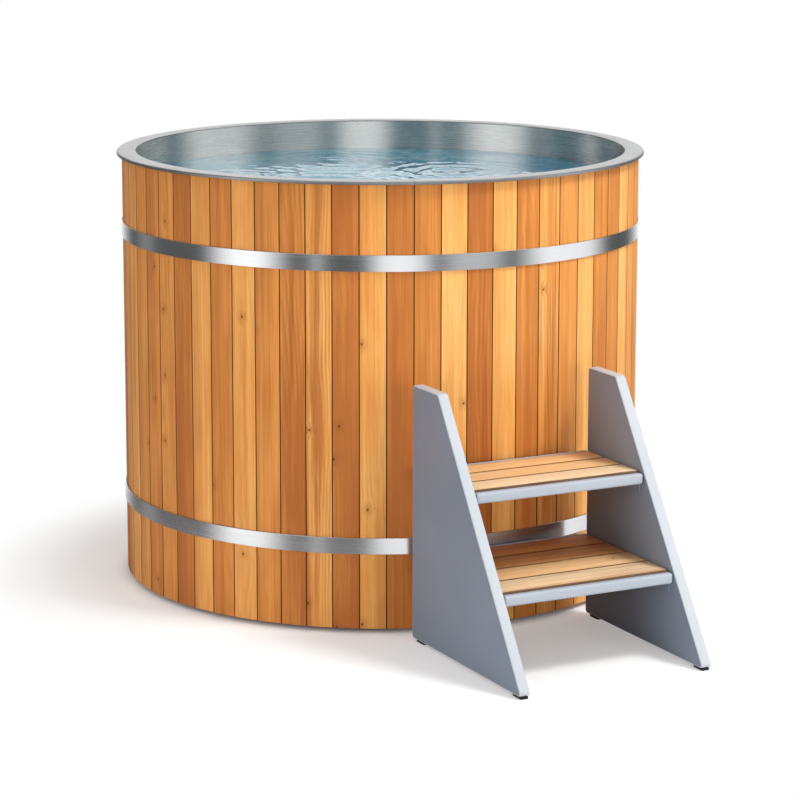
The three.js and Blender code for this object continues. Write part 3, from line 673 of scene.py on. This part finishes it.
# drain valve: the turned brass pieces, drawn along Z and laid along Y
valve = {
    "at": (0.0, 0.655, 0.042), "half": 0.042, "collar": 0.0221, "waist": 0.0260, "waistShort": 0.003,
    "socket": 0.0163, "hole": 0.01713, "bore": 0.012, "cavity": 0.0190, "ease": 0.0008, "facets": 48,
    "boss": (0.0110, 0.0380), "bossSink": 0.001, "bossFacets": 40, "stem": 0.0064, "stemReach": 1.5,
    "sliver": 5e-6, "waistArc": (-1.35, -1.1, -0.8, -0.5, -0.2, 0.2, 0.5, 0.8, 1.1, 1.35),
    "cavityArc": (0.88, 0.6, 0.3, 0.0, -0.3, -0.6, -0.88)}
nipple = {
    "length": 0.052, "pipe": 0.0165, "barb": 0.002, "barbs": 3, "wall": 0.003, "gap": 0.0003, "edge": 0.0004,
    "tip": 0.001}


def layAlongY(bm):
    bmesh.ops.rotate(bm, cent=(0, 0, 0), matrix=Matrix.Rotation(-quarter, 3, "X"), verts=bm.verts)
    bmesh.ops.translate(bm, vec=valve["at"], verts=bm.verts)


def carve(first, second, operation):  # joins two closed shells, or cuts the second from the first
    pair = []
    for shell in (first, second):
        mesh = bpy.data.meshes.new("valveShell")
        shell.to_mesh(mesh)
        shell.free()
        pair.append(bpy.data.objects.new("valveShell", mesh))
        scene.collection.objects.link(pair[-1])
    step = pair[0].modifiers.new("carve", "BOOLEAN")
    step.object = pair[1]
    step.operation = operation
    step.solver = "EXACT"
    result = bmesh.new()
    result.from_object(pair[0], bpy.context.evaluated_depsgraph_get())
    bmesh.ops.remove_doubles(result, verts=result.verts, dist=valve["sliver"])
    bmesh.ops.dissolve_degenerate(result, dist=valve["sliver"], edges=result.edges)
    for holder in pair:
        bpy.data.meshes.remove(holder.data)  # takes its object with it
    return result


def buildValve():
    half, collar, hole, bore, ease = (valve[key] for key in ("half", "collar", "hole", "bore", "ease"))
    cavity, stem = valve["cavity"], valve["stem"]
    socket = half - valve["socket"]
    swell, reach = valve["waist"] - collar, socket - valve["waistShort"]
    waist = [(collar + swell * math.cos(a), reach * math.sin(a)) for a in valve["waistArc"]]
    throat = [(cavity * math.cos(a), cavity * math.sin(a)) for a in valve["cavityArc"]]
    bm = bmesh.new()
    lathe(bm, [(hole, -half), (collar - ease, -half), (collar, -half + ease), (collar, -socket), *waist,
               (collar, socket), (collar, half - ease), (collar - ease, half), (hole, half), (hole, socket),
               (bore, socket), *throat, (bore, -socket), (hole, -socket)], valve["facets"])
    layAlongY(bm)
    wide, tall = valve["boss"]
    base = cavity + valve["bossSink"]
    boss = bmesh.new()
    lathe(boss, [(0.0, base), (wide, base), (wide, tall - ease), (wide - ease, tall), (0.0, tall)],
          valve["bossFacets"], closed=False)
    stemHole = bmesh.new()
    above = tall * valve["stemReach"]
    lathe(stemHole, [(0.0, 0.0), (stem, 0.0), (stem, above), (0.0, above)], valve["bossFacets"], closed=False)
    for part in (boss, stemHole):
        bmesh.ops.translate(part, vec=valve["at"], verts=part.verts)
    bm = carve(carve(bm, boss, "UNION"), stemHole, "DIFFERENCE")
    finishPiece(bm, "valveBody", "tub", [brass], ["valve_body"])

    pipe, gap, edge, length = (nipple[key] for key in ("pipe", "gap", "edge", "length"))
    tip = pipe - nipple["barb"]
    inside = tip - nipple["wall"]
    pitch = length / (nipple["barbs"] + 1)
    neck, end = half + pitch / 2, half + length
    teeth = []
    for i in range(nipple["barbs"]):
        start = half + pitch * (i + 1)
        teeth += [(tip, start), (pipe - edge, start), (pipe, start + edge), (tip, start + pitch - edge)]
    bm = bmesh.new()
    lathe(bm, [(inside, socket + gap), (pipe, socket + gap), (pipe, half + gap), (collar - ease, half + gap),
               (collar, half + gap + ease), (collar, neck - ease), (collar - ease, neck), (tip, neck), *teeth,
               (tip - nipple["tip"], end), (inside, end)], valve["facets"])
    layAlongY(bm)
    finishPiece(bm, "hoseNipple", "tub", [brass], ["hose_nipple"])
    print("valve: body and hose nipple")


# CAD nodes that keep their shape
carried = [
    (steel["fittingSteel"], [
        "hoop_bolt_upper", "hoop_bolt_lower", "hoop_nut_upper", "hoop_nut_lower", "drain_flange",
        "drain_strainer", "drain_locknut", "drain_pipe", "valve_ball", "valve_lever", "lever_nut"]),
    (rubber, ["drain_gasket", "bearer_pad_front", "bearer_pad_middle", "bearer_pad_rear"]),
    (foam, ["insulation_jacket", "floor_insulation"]),
    (baseWood, ["base_board", "bearer_front", "bearer_middle", "bearer_rear"])]


def dressCarried():
    for finish, names in carried:
        for name in names:
            nodes[name].material_slots[0].material = finish
    print("carried CAD nodes dressed:", sum(len(names) for _, names in carried))


# studio: three lamps, a floor that fades to white, and a room of soft cards for metal and water to mirror
studio = {
    "floor": (0.80, 0.80, 0.80, 1.0), "floorSize": 30.0, "glow": 0.29, "ambient": 0.54,
    # distances from the tub's axis or from the middle of the steps
    "underTub": (0.56, 0.64), "tubFade": (0.66, 1.00), "stepsFade": (0.38, 0.80), "mirrorFade": (0.8, 1.3),
    "stepsAway": 0.85,
    "lamps": {
        "key": {"at": (1.6, -2.3, 4.4), "aim": (0.0, -0.4, 0.5), "size": (1.2, 1.2), "power": 130.0},
        "front": {"at": (0.9, -5.6, 0.9), "aim": (0.0, 0.0, 0.5), "size": (2.6, 1.4), "power": 84.0},
        "side": {"at": (-4.8, -2.2, 0.9), "aim": (0.0, 0.0, 0.5), "size": (2.2, 1.6), "power": 60.0}},
    "roomShade": 0.12, "roomRise": (-0.05, 0.15), "roomLift": 0.35,
    # bearing, half width and soft edge in degrees, and level
    "cards": [(62.0, 14.0, 24.0, 1.25), (118.0, 3.0, 8.0, 0.30), (182.0, 7.0, 15.0, 1.50),
              (216.0, 0.5, 4.0, 0.70), (252.0, 7.0, 9.0, 1.30), (285.0, 8.0, 9.0, 0.68),
              (333.0, 14.0, 15.0, 1.25)]}


def addLamp(name, setup):
    lamp = bpy.data.lights.new(name, "AREA")
    lamp.shape = "RECTANGLE"
    lamp.size, lamp.size_y = setup["size"]
    lamp.energy = setup["power"]
    holder = bpy.data.objects.new(name, lamp)
    holder.location = setup["at"]
    aim = Vector(setup["aim"]) - Vector(setup["at"])
    holder.rotation_mode = "QUATERNION"
    holder.rotation_quaternion = aim.to_track_quat("-Z", "Y")
    holder.visible_glossy = False  # metal and water mirror the cards instead
    scene.collection.objects.link(holder)


def buildFloor():
    bm = bmesh.new()
    bmesh.ops.create_grid(bm, x_segments=1, y_segments=1, size=studio["floorSize"])
    mesh = bpy.data.meshes.new("studioFloor")
    bm.to_mesh(mesh)
    bm.free()
    floor = bpy.data.objects.new("studioFloor", mesh)
    scene.collection.objects.link(floor)
    f = Finish("studioFloor")
    x, y, _ = f.parts(f.place())
    ahead = y + studio["stepsAway"]
    fromTub = (x * x + y * y) ** 0.5
    fromSteps = (x * x + ahead * ahead) ** 0.5
    camera, glossy = f.node("ShaderNodeLightPath", out=("Is Camera Ray", "Is Glossy Ray"))
    lit = f.node("ShaderNodeBsdfDiffuse", None, {"Color": studio["floor"]})
    glow = f.light("Emission", fromTub.between(*studio["underTub"]) * studio["glow"])
    shaded = f.node("ShaderNodeAddShader", None, {0: lit, 1: glow})
    clean = fromTub.between(*studio["tubFade"]) * fromSteps.between(*studio["stepsFade"])
    seen = f.either(clean, shaded, f.light("Emission", 1.0))
    clear = f.node("ShaderNodeBsdfTransparent")
    mirrored = f.either(glossy * fromTub.between(*studio["mirrorFade"]), lit, clear)
    f.node("ShaderNodeOutputMaterial", None, {"Surface": f.either(camera, mirrored, seen)})
    mesh.materials.append(f.material)


def buildRoom():
    world = bpy.data.worlds.new("studioWorld")
    world.use_nodes = True
    scene.world = world
    w = Finish("studioWorld", world.node_tree)
    rays = ("Is Camera Ray", "Is Glossy Ray", "Is Transmission Ray")
    camera, glossy, through = w.node("ShaderNodeLightPath", out=rays)
    x, y, z = w.parts(w.node("ShaderNodeTexCoord", out="Generated"))
    bearing = y.math("ARCTAN2", y, x) / math.tau + 0.5
    shade = studio["roomShade"]
    stops = []
    for middle, half, edge, level in studio["cards"]:
        for away, bright in ((-half - edge, shade), (-half, level), (half, level), (half + edge, shade)):
            stops.append((((middle + away) / 360 + 0.5) % 1.0, (bright,) * 3))
    cards = w.ramp(bearing, sorted(stops))
    room = w.light("Background", z.between(*studio["roomRise"]) * studio["roomLift"] + 1.0, cards)
    backdrop = w.light("Background", 1.0)
    lit = w.either(glossy, w.light("Background", studio["ambient"]), room)
    lit = w.either(through, lit, backdrop)
    lit = w.either(camera, lit, backdrop)
    w.node("ShaderNodeOutputWorld", None, {"Surface": lit})


def buildStudio():
    for name, setup in studio["lamps"].items():
        addLamp(name + "Lamp", setup)
    buildFloor()
    buildRoom()
    print("studio ready:", len(studio["lamps"]), "lamps,", len(studio["cards"]), "cards")


# camera at the photograph's viewing angle: lengths in metres or pixels, angles in degrees
lens = {
    "pixels": 2861.08, "distance": 6.66234, "height": 1.80456, "bearing": 26.63, "pitch": 10.02,
    "middle": (380.22, 304.0), "image": 800, "sensor": 36.0, "reach": 200.0}


def buildCamera():
    image, sensor, (middleX, middleY) = lens["image"], lens["sensor"], lens["middle"]
    data = bpy.data.cameras.new("studioCamera")
    data.sensor_width = sensor
    data.lens = sensor * lens["pixels"] / image
    data.shift_x = (image / 2 - middleX) / image
    data.shift_y = (middleY - image / 2) / image
    data.clip_end = lens["reach"]
    camera = bpy.data.objects.new("studioCamera", data)
    a, p = math.radians(lens["bearing"]), math.radians(lens["pitch"])
    camera.location = (-math.sin(a) * lens["distance"], -math.cos(a) * lens["distance"], lens["height"])
    look = Vector((math.sin(a) * math.cos(p), math.cos(a) * math.cos(p), -math.sin(p)))
    camera.rotation_mode = "QUATERNION"
    camera.rotation_quaternion = look.to_track_quat("-Z", "Y")
    scene.collection.objects.link(camera)
    scene.camera = camera
    print("camera ready")


buildStaves()
buildHoops()
buildRim()
buildLiner()
buildWater()
buildPanels()
buildTreads()
buildValve()
dressCarried()
buildStudio()
buildCamera()

bpy.context.view_layer.update()
